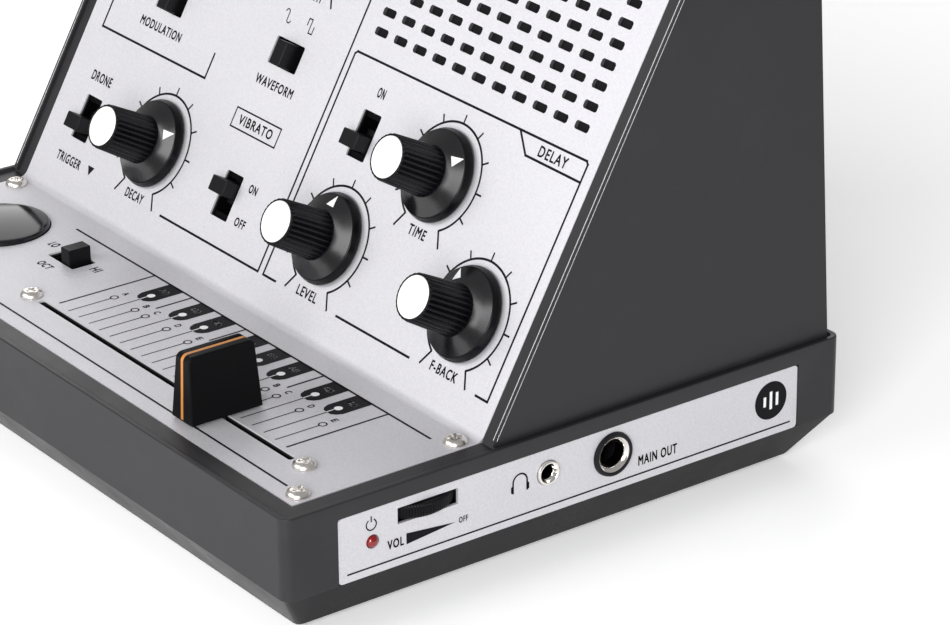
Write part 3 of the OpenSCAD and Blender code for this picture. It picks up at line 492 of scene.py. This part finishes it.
for line in (
        [(3.86, 132.0), (3.86, 8.7), (-40.6, 8.7)],
        [(37.2, 8.7), (67.4, 8.7)], [(92.9, 8.7), (97.6, 8.7)],
        [(97.65, 8.7), (97.65, 67.2), (96.95, 67.9), (6.86, 67.9), (6.16, 67.2), (6.16, 8.7), (11.5, 8.7)],
        [(72.4, 67.6), (77.1, 63.0), (97.5, 62.85)],
        [(-94.3, 132.0), (-94.3, 44.97), (-45.3, 44.97), (-45.3, 51.6)]):
    stroke(black, line, 0.6)
stroke(black, [(-28.3, 37.4), (-8.8, 37.4), (-8.8, 42.4), (-28.3, 42.4), (-28.3, 37.4)], 0.42)
for text, left, right, low, high in (
        ("WAVEFORM", -26.1, -10.0, 49.9, 52.4), ("MODULATION", -79.8, -60.9, 50.0, 52.5),
        ("VIBRATO", -25.9, -11.3, 38.6, 41.2), ("DELAY", 80.8, 91.3, 64.0, 66.7),
        ("ON", 19.8, 22.8, 59.9, 62.5), ("ON", -11.6, -8.2, 24.6, 26.9), ("OFF", -12.0, -7.5, 15.7, 18.0),
        ("DRONE", -90.3, -81.0, 31.2, 33.9), ("TRIGGER", -91.4, -80.0, 8.35, 10.9)):
    words(black, text, left, right, low, high)
patch(black, [(-76.8, 10.9), (-75.3, 8.5), (-73.8, 10.9)])
# a sine mark and a square mark above the waveform switch
arc(black, (-24.25, 69.3), 0.75, 0.34, 0, 180)
arc(black, (-22.75, 67.5), 0.75, 0.34, 180, 360)
stroke(black, [(-23.5, 69.3), (-23.5, 67.5)], 0.34)
stroke(black, [(-15.2, 68.4), (-15.2, 70.1), (-13.8, 70.1), (-13.8, 66.6), (-12.3, 66.6), (-12.3, 68.4)],
       0.34)
printed("panel_print", black, PANEL_PLANE, ink_black)

# the side plate: across is the depth of the case, up is its height
black, white = bmesh.new(), bmesh.new()
stroke(black, [(-64.0, 14.97), (65.0, 14.97)], 0.42)
arc(black, (-57.25, 25.5), 1.35, 0.34, 122, 418)
stroke(black, [(-57.25, 26.1), (-57.25, 27.6)], 0.34)
words(black, "VOL", -53.0, -48.5, 17.7, 20.05)
words(black, "OFF", -33.3, -30.7, 18.35, 19.85, 0.04)
words(black, "MAIN OUT", 18.5, 30.1, 17.05, 19.65)
patch(black, [(-47.8, 20.35), (-47.8, 17.6), (-34.2, 18.95)])
arc(black, (-15.95, 23.5), 2.0, 0.45, 0, 180)
for y, out_to in ((-17.95, -18.55), (-13.95, -13.35)):
    stroke(black, [(y, 23.6), (y, 20.9)], 0.45)
    patch(black, [(y, 20.9), (out_to, 21.2), (out_to, 22.7), (y, 23.0)])
disc(black, (58.8, 22.3), 4.9, INK, 48)
for y, tall in ((56.9, 2.6), (58.8, 4.6), (60.7, 3.4)):
    stroke(white, [(y, 22.3 - tall / 2), (y, 22.3 + tall / 2)], 0.8, 2 * INK)
printed("side_print_black", black, SIDE_PLANE, ink_black)
printed("side_print_white", white, SIDE_PLANE, ink_white)

# ---------------------------------------------------------------------------
# Screws of the plate and the fader: plated pan heads with a cross recess, the
# crown of each turned from wire and tumbled bright.

plating, g_in, g_out = node_group(
    "plated_metal",
    [("Tint", "NodeSocketColor", (0.7, 0.7, 0.7, 1)), ("Scratch", "NodeSocketFloat", 900.0),
     ("Gloss", "NodeSocketFloat", 0.2)],
    [("Colour", "NodeSocketColor"), ("Roughness", "NodeSocketFloat"), ("Height", "NodeSocketFloat")])
where = plating.nodes.new("ShaderNodeTexCoord").outputs["Object"]
fine = noise(plating, where, g_in.outputs["Scratch"], 5.0, 0.65)
film = noise(plating, where, 260.0, 4.0, 0.6)
tinted = plating.nodes.new("ShaderNodeVectorMath")
tinted.operation = "SCALE"
plating.links.new(g_in.outputs["Tint"], tinted.inputs[0])
plating.links.new(ranged(plating, film, 0.3, 0.7, 0.88, 1.06), tinted.inputs["Scale"])
plating.links.new(tinted.outputs[0], g_out.inputs["Colour"])
plating.links.new(maths(plating, "MULTIPLY_ADD", maths(plating, "SUBTRACT", fine, 0.5), 0.25,
                        g_in.outputs["Gloss"]), g_out.inputs["Roughness"])
plating.links.new(fine, g_out.inputs["Height"])


def metal(name, tint, gloss, scratch=900.0, strength=0.12):
    m = bpy.data.materials.new(name)
    m.use_nodes = True
    tree = m.node_tree
    shader = tree.nodes["Principled BSDF"]
    g = tree.nodes.new("ShaderNodeGroup")
    g.node_tree = plating
    g.inputs["Tint"].default_value = (*tint, 1)
    g.inputs["Scratch"].default_value = scratch
    g.inputs["Gloss"].default_value = gloss
    tree.links.new(g.outputs["Colour"], shader.inputs["Base Color"])
    tree.links.new(g.outputs["Roughness"], shader.inputs["Roughness"])
    shader.inputs["Metallic"].default_value = 1.0
    bump(tree, shader, g.outputs["Height"], strength, 0.00003)
    m.diffuse_color = (*tint, 1)
    return m


bright = metal("bright_plating", (0.84, 0.80, 0.75), 0.3, strength=0.03)
SCREW_X = 97.4
PLATE_SCREWS = [(DECK_PLANE, sx * SCREW_X, y) for sx in (-1, 1) for y in (-69.5, -26.5)]
PLATE_SCREWS += [(PANEL_PLANE, sx * SCREW_X, 131.0) for sx in (-1, 1)]
FADER_SCREWS = [(DECK_PLANE, 27.0 + sx * 59.5, -60.4) for sx in (-1, 1)]


def turned(bm, outline, steps):
    """spins an outline of (radius, height) round the upright axis"""
    ring = [bm.verts.new((r, 0, z)) for r, z in outline]
    edges = [bm.edges.new((ring[i], ring[i + 1])) for i in range(len(ring) - 1)]
    bmesh.ops.spin(bm, geom=ring + edges, cent=(0, 0, 0), axis=(0, 0, 1), angle=2 * pi, steps=steps,
                   use_merge=True)


CROWN, SHANK_END = 1.66, -6.0


def screw_head(bm, plane, x, y, turn):
    """a pan head whose crown is pressed in by a cross, and the start of its shank"""
    one = bmesh.new()
    outline = [(0.3, CROWN), (0.6, 1.65), (0.9, 1.63), (1.2, 1.6), (1.5, 1.55), (1.9, 1.42), (2.3, 1.2),
               (2.62, 0.86), (2.82, 0.45), (2.88, 0.12), (2.8, 0.0), (1.25, 0.0), (1.25, SHANK_END)]
    turned(one, outline, 64)
    bmesh.ops.remove_doubles(one, verts=one.verts, dist=0.001)
    for end in (CROWN, SHANK_END):
        loop = [e for e in one.edges if len(e.link_faces) == 1
                and all(abs(v.co.z - end) < 0.01 for v in e.verts)]
        bmesh.ops.contextual_create(one, geom=loop)
    bmesh.ops.recalc_face_normals(one, faces=one.faces)
    for v in one.verts:
        arm, off = max(abs(v.co.x), abs(v.co.y)), min(abs(v.co.x), abs(v.co.y))
        if v.co.z > 1.5 and off < 0.3 and arm < 1.25:
            v.co.z -= 0.6 * (1.0 - arm / 2.0)
    place = plane @ Matrix.Translation((x, y, 0)) @ Matrix.Rotation(turn, 4, "Z")
    bmesh.ops.transform(one, matrix=place, verts=one.verts)
    mesh = bpy.data.meshes.new("one")
    one.to_mesh(mesh)
    one.free()
    bm.from_mesh(mesh)
    bpy.data.meshes.remove(mesh)


heads = bmesh.new()
for i, (plane, x, y) in enumerate(PLATE_SCREWS):
    screw_head(heads, plane, x, y, 0.4 + 0.7 * i)
piece("plate_screw_heads", heads, bright, "case", ["plate_screws"], crease=70)
heads = bmesh.new()
for i, (plane, x, y) in enumerate(FADER_SCREWS):
    screw_head(heads, plane, x, y, 0.2 + 1.1 * i)
piece("fader_screw_heads", heads, bright, "case", ["fader_screws"], crease=70)

# ---------------------------------------------------------------------------
# Loudspeaker: black woven cloth stretched behind the punched holes, then a
# pressed basket with a paper cone and a sintered magnet.

cloth = plastic("speaker_cloth", (0.008, 0.008, 0.009), 0.9, grain=1200, mottle=0.6, dust=0.01, strength=0.6,
                shine=0.1)
dress("grille_cloth", cloth)
dress("speaker_cone", plastic("cone_paper", (0.03, 0.03, 0.03), 0.85, grain=900, mottle=0.4, strength=0.5))
dress("speaker_basket", plastic("basket_paint", (0.04, 0.04, 0.045), 0.4, strength=0.2))
dress("speaker_magnet", plastic("magnet_ferrite", (0.12, 0.12, 0.13), 0.6, grain=1500, strength=0.4))

# ---------------------------------------------------------------------------
# Boards and what is soldered to them: green solder mask, tinned cans of the
# potentiometers, black switch housings and the fader's folded channel.

board = plastic("solder_mask", (0.01, 0.09, 0.035), 0.35, grain=700, mottle=0.3, strength=0.15)
can = metal("tinned_can", (0.62, 0.62, 0.63), 0.34)
shaft_steel = metal("turned_shaft", (0.68, 0.68, 0.68), 0.28)
switch_plastic = plastic("switch_plastic", (0.004, 0.004, 0.005), 0.4, grain=2000, mottle=0.3, dust=0.003,
                         strength=0.2, shine=0.14)
for node in ("panel_board", "deck_board"):
    dress(node, board)
dress("pots", can)
dress("fader_body", switch_plastic)
for node in ["fader_lever"] + [k + "_shaft" for k in KNOBS]:
    dress(node, shaft_steel)
dress("pot_nuts", bright)
for node in ("trigger_switch", "trigger_plunger"):
    dress(node, switch_plastic)
dress("switch_bodies", plastic("housing_plastic", (0.0015, 0.0015, 0.002), 0.6, dust=0.0, shine=0.05))
dress("batteries", plastic("cell_sleeve", (0.04, 0.07, 0.16), 0.3, grain=500, mottle=0.3, strength=0.1))
dress("battery_contacts", metal("contact_nickel", (0.68, 0.66, 0.6), 0.3))

# ---------------------------------------------------------------------------
# Knobs: a black moulding with a dished skirt and a fluted grip that narrows
# upwards. A white disc is pressed into the top and a white pointer is printed
# on the skirt.

knob_plastic = plastic("knob_plastic", (0.0025, 0.0025, 0.0035), 0.24, grain=1800, mottle=0.3, dust=0.001,
                       strength=0.08, shine=0.2)
skirt_polish = plastic("skirt_polish", (0.003, 0.003, 0.004), 0.2, grain=1800, mottle=0.3, dust=0.001,
                       strength=0.03, shine=0.62)
cap_white = plastic("cap_white", (0.86, 0.86, 0.84), 0.35, grain=900, mottle=0.05, dust=0.0, strength=0.08)
FLUTES, SIDES = 28, 280


def knob_bmesh():
    bm = bmesh.new()
    # skirt: foot, rounded wall, narrow rim, then a shallow dish up to the grip
    turned(bm, [(6.55, 0.8), (11.3, 0.8), (11.52, 0.9), (11.6, 1.15), (11.5, 1.7), (10.96, 2.82),
                (10.84, 2.95), (10.66, 3.02), (8.6, 3.95), (6.4, 4.9), (5.6, 4.95)], 96)
    # grip: stacked rings whose radius follows the flutes
    stack = [(4.9, 6.35, 1.0), (6.0, 6.32, 1.0), (10.0, 6.15, 1.0), (14.0, 5.98, 1.0), (16.9, 5.86, 1.0),
             (17.3, 5.84, 0.9), (17.7, 5.74, 0.5), (17.93, 5.6, 0.15), (18.0, 5.4, 0.0), (17.95, 5.2, 0.0),
             (17.1, 5.18, 0.0)]
    below = None
    for z, r, deep in stack:
        made = bmesh.ops.create_circle(bm, segments=SIDES, radius=r,
                                       matrix=Matrix.Translation((0, 0, z)))["verts"]
        for i, v in enumerate(made):
            wave = 0.5 + 0.5 * cos(2 * pi * FLUTES * i / SIDES)
            k = 1 - deep * 0.62 * (1 - wave ** 0.8) / r
            v.co.x *= k
            v.co.y *= k
        rim = [e for e in {e for v in made for e in v.link_edges}]
        if below:
            bmesh.ops.bridge_loops(bm, edges=below + rim)
        below = rim
    bmesh.ops.remove_doubles(bm, verts=bm.verts, dist=0.001)
    bmesh.ops.recalc_face_normals(bm, faces=bm.faces)
    for f in bm.faces:
        # the dish of the skirt comes polished from the mould
        middle = f.calc_center_median()
        f.material_index = 1 if middle.z > 3.02 and middle.xy.length > 6.45 else 0
    return bm


def copied(bm, matrix):
    other = bm.copy()
    bmesh.ops.transform(other, matrix=matrix, verts=other.verts)
    return other


one_knob = knob_bmesh()
one_cap = bmesh.new()
turned(one_cap, [(0.0, 18.12), (4.6, 18.1), (4.95, 18.04), (5.12, 17.9), (5.14, 17.2), (0.0, 17.2)], 72)
bmesh.ops.remove_doubles(one_cap, verts=one_cap.verts, dist=0.001)
bmesh.ops.recalc_face_normals(one_cap, faces=one_cap.faces)
# pointer: a thin triangle that lies on the dish of the skirt
one_mark = bmesh.new()
rows = [(10.5, 0.03, 3.09), (8.6, 0.95, 3.95), (7.7, 1.38, 4.34)]
last = None
for r, half, z in rows:
    pair = [one_mark.verts.new((r, -half, z + 0.06)), one_mark.verts.new((r, half, z + 0.06))]
    if last:
        one_mark.faces.new((last[0], pair[0], pair[1], last[1]))
    last = pair
bmesh.ops.recalc_face_normals(one_mark, faces=one_mark.faces)
for f in one_mark.faces:
    if f.normal.z < 0:
        f.normal_flip()

for key, (x, s, pointing) in KNOBS.items():
    place = PANEL_PLANE @ Matrix.Translation((x, s, 0)) @ Matrix.Rotation(radians(pointing), 4, "Z")
    body = key + "_control"
    knob = piece(key + "_knob_moulding", copied(one_knob, place), knob_plastic, body,
                 [key + "_knob"], crease=50)
    knob.data.materials.append(skirt_polish)
    piece(key + "_white_disc", copied(one_cap, place), cap_white, body, [key + "_cap"],
          crease=50)
    piece(key + "_pointer", copied(one_mark, place), ink_white, body, weighted=False)

# ---------------------------------------------------------------------------
# Slide switches: a black moulded tongue with crisp eased corners stands in
# each window of the plate.

for key in ("drone", "vibrato", "delay", "waveform", "modulation", "octave"):
    bm = merged(key + "_slider")
    eased(bm, 0.28, 3, lambda a, b: True)
    piece(key + "_tongue", bm, switch_plastic, key + "_switch", [key + "_slider"])

# ---------------------------------------------------------------------------
# Pitch fader: a tapered cap pressed on a steel lever. It is matte black with
# an orange line let into its front, top and back.

fader_plastic = plastic("fader_plastic", (0.003, 0.003, 0.0035), 0.5, grain=2200, mottle=0.3, dust=0.002,
                        strength=0.4, shine=0.08)
fader_orange = plastic("fader_orange", (0.46, 0.175, 0.028), 0.5, grain=2200, mottle=0.12, dust=0.0,
                       strength=0.3)
bm = merged("fader_cap")
low, high = (v * 1000 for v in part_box("fader_cap"))
mid_x = (low.x + high.x) / 2
SLIMMEST = 2.6
eased(bm, 0.45, 3, lambda a, b: min(abs(a.x - mid_x), abs(b.x - mid_x)) > SLIMMEST
      and (a.x - mid_x) * (b.x - mid_x) > 0)
piece("fader_cap_moulding", bm, fader_plastic, "fader", ["fader_cap"])
dress("fader_line", fader_orange)

# ---------------------------------------------------------------------------
# Trigger button: a broad black disc with a shallow glossy dome and a rounded
# shoulder, held under the plate by its flange.

gloss_black = plastic("button_gloss", (0.005, 0.005, 0.007), 0.14, grain=300, mottle=0.2, dust=0.003,
                      strength=0.02, shine=0.42)
BUTTON, DOME_R, DOME_TOP, DOME_SAG = (-75.5, -44.8), 12.7, 2.35, 1.2
bm = bmesh.new()
outline = [(DOME_R * k / 12, DOME_TOP - DOME_SAG * (k / 12) ** 2) for k in range(13)]
outline += [(12.98, 1.04), (13.18, 0.8), (13.28, 0.5), (13.3, 0.2), (13.3, -1.35), (14.5, -1.4),
            (14.5, -4.6), (0.0, -4.6)]
turned(bm, outline, 128)
bmesh.ops.remove_doubles(bm, verts=bm.verts, dist=0.001)
bmesh.ops.recalc_face_normals(bm, faces=bm.faces)
bmesh.ops.translate(bm, vec=(*BUTTON, DECK), verts=bm.verts)
piece("trigger_button_moulding", bm, gloss_black, "trigger", ["trigger_button"], crease=40,
      weighted=False)

# ---------------------------------------------------------------------------
# Right wall: a ribbed thumbwheel, a red pilot lamp, a chrome jack nose and a
# large jack with a black ring round a chrome sleeve.

def turned_ring(bm, outline, y, z, steps=72):
    """a closed outline of (radius, height) spun round an axis that points out of the right wall"""
    ring = [bm.verts.new((h, y + r, z)) for r, h in outline]
    edges = [bm.edges.new((ring[i], ring[(i + 1) % len(ring)])) for i in range(len(ring))]
    bmesh.ops.spin(bm, geom=ring + edges, cent=(0, y, z), axis=(1, 0, 0), angle=2 * pi, steps=steps,
                   use_merge=True)
    bmesh.ops.remove_doubles(bm, verts=bm.verts, dist=0.001)
    bmesh.ops.recalc_face_normals(bm, faces=bm.faces)


WHEEL, WHEEL_R, WHEEL_T, RIBS = (97.4, -41.7, 25.3), 12.0, 3.3, 110
bm = bmesh.new()
below = None
for r, h, deep in ((10.9, -WHEEL_T / 2, 0), (11.5, -WHEEL_T / 2, 0), (11.9, -WHEEL_T / 2 + 0.35, 0.8),
                   (12.0, -WHEEL_T / 2 + 0.7, 1.0), (12.0, WHEEL_T / 2 - 0.7, 1.0),
                   (11.9, WHEEL_T / 2 - 0.35, 0.8), (11.5, WHEEL_T / 2, 0), (10.9, WHEEL_T / 2, 0)):
    made = bmesh.ops.create_circle(bm, segments=RIBS * 4, radius=r,
                                   matrix=Matrix.Translation((WHEEL[0], WHEEL[1], WHEEL[2] + h)))["verts"]
    for i, v in enumerate(made):
        k = 1 - deep * 0.3 * (i % 4 in (0, 1)) / r
        v.co.x = WHEEL[0] + (v.co.x - WHEEL[0]) * k
        v.co.y = WHEEL[1] + (v.co.y - WHEEL[1]) * k
    rim = list({e for v in made for e in v.link_edges})
    if below:
        bmesh.ops.bridge_loops(bm, edges=below + rim)
    else:
        first = rim
    below = rim
bmesh.ops.contextual_create(bm, geom=first)
bmesh.ops.contextual_create(bm, geom=below)
spindle = bmesh.ops.create_cone(bm, cap_ends=True, segments=48, radius1=1.5, radius2=1.5, depth=4.5)["verts"]
bmesh.ops.translate(bm, vec=(WHEEL[0], WHEEL[1], WHEEL[2] - WHEEL_T / 2 - 2.2), verts=spindle)
bmesh.ops.recalc_face_normals(bm, faces=bm.faces)
piece("volume_wheel_moulding", bm, switch_plastic, "wheel", ["volume_wheel"], crease=40)
dress("volume_pot", switch_plastic)
led = plastic("led_red", (0.19, 0.001, 0.003), 0.10, grain=300, mottle=0.15, dust=0.0, strength=0.02,
              coat=0.4)
dress("led_lens", led)
chrome = metal("jack_chrome", (0.82, 0.79, 0.76), 0.12)
jack_black = plastic("jack_black", (0.005, 0.005, 0.006), 0.4, dust=0.002, strength=0.2, shine=0.2)
dress("headphone_jack", jack_black)
dress("main_jack", jack_black)
bm = bmesh.new()
turned_ring(bm, [(1.8, 104.1), (1.8, 107.3), (2.15, 107.75), (2.35, 108.35), (2.45, 108.46), (2.78, 108.5),
                 (2.95, 108.4), (3.0, 108.2), (3.0, 104.1)], -8.0, 23.4)
piece("headphone_nose_turning", bm, chrome, "case", ["headphone_nose"], crease=30)
bm = bmesh.new()
turned_ring(bm, [(3.3, 104.6), (3.3, 107.4), (3.55, 107.9), (4.2, 108.42), (4.36, 108.5), (4.4, 108.45),
                 (4.4, 104.6)], 10.85, 22.5, 96)
piece("main_sleeve_turning", bm, chrome, "case", ["main_sleeve"], crease=30)
bm = bmesh.new()
turned_ring(bm, [(4.43, 104.6), (4.43, 108.55), (4.55, 108.66), (4.7, 108.7), (5.1, 108.7), (5.3, 108.6),
                 (5.4, 108.35), (5.4, 104.6)], 10.85, 22.5, 96)
piece("main_ring_moulding", bm, jack_black, "case", ["main_ring"], crease=40)

# ---------------------------------------------------------------------------
# Studio: a pale seamless floor, a broad soft light over the left shoulder and
# a lower fill, and the camera.

floor_material = plastic("studio_floor", (0.93, 0.93, 0.93), 0.8, grain=40, mottle=0.02, dust=0, strength=0.0)
floor_shader = floor_material.node_tree.nodes["Principled BSDF"]
floor_shader.inputs["Emission Color"].default_value = (1, 1, 1, 1)
floor_shader.inputs["Emission Strength"].default_value = 0.3
bm = bmesh.new()
bmesh.ops.create_grid(bm, x_segments=1, y_segments=1, size=4.0)
mesh = bpy.data.meshes.new("studio_floor")
bm.to_mesh(mesh)
bm.free()
floor = bpy.data.objects.new("studio_floor", mesh)
mesh.materials.append(floor_material)
bpy.context.scene.collection.objects.link(floor)

world = bpy.data.worlds.new("studio")
world.use_nodes = True
world.node_tree.nodes["Background"].inputs["Color"].default_value = (1, 1, 1, 1)
world.node_tree.nodes["Background"].inputs["Strength"].default_value = 0.36
bpy.context.scene.world = world


def soft_light(name, at, aim, wide, tall, watts):
    data = bpy.data.lights.new(name, "AREA")
    data.shape = "RECTANGLE"
    data.size, data.size_y, data.energy = wide, tall, watts
    lamp = bpy.data.objects.new(name, data)
    lamp.location = at
    lamp.rotation_euler = (Vector(aim) - Vector(at)).to_track_quat("-Z", "Y").to_euler()
    bpy.context.scene.collection.objects.link(lamp)


soft_light("key", (-0.40, -1.25, 0.85), (0, 0, 0.05), 1.1, 0.7, 12)
soft_light("fill", (1.0, -1.1, 0.55), (0, 0, 0.05), 0.6, 0.8, 22)
soft_light("rim", (-1.45, 0.80, 0.90), (0, 0, 0.05), 1.3, 1.5, 10)

turn, lift, roll = radians(53.497), radians(23.998), radians(-0.425)
out = Vector((sin(turn) * cos(lift), -cos(turn) * cos(lift), sin(lift)))
right = Vector((cos(turn), sin(turn), 0))
up = out.cross(right)
right_r = right * cos(roll) + up * sin(roll)
up_r = up * cos(roll) - right * sin(roll)
camera_data = bpy.data.cameras.new("camera")
camera_data.sensor_width = 36.0
camera_data.lens = 148.22
camera_data.shift_x = -0.00603
camera_data.shift_y = -0.01219
camera_data.clip_start = 0.05
camera = bpy.data.objects.new("camera", camera_data)
camera.matrix_world = Matrix((
    (right_r.x, up_r.x, out.x, 0.7413), (right_r.y, up_r.y, out.y, -0.4955),
    (right_r.z, up_r.z, out.z, 0.4222), (0, 0, 0, 1)))
bpy.context.scene.collection.objects.link(camera)
bpy.context.scene.camera = camera
bpy.context.scene.view_settings.view_transform = "Standard"
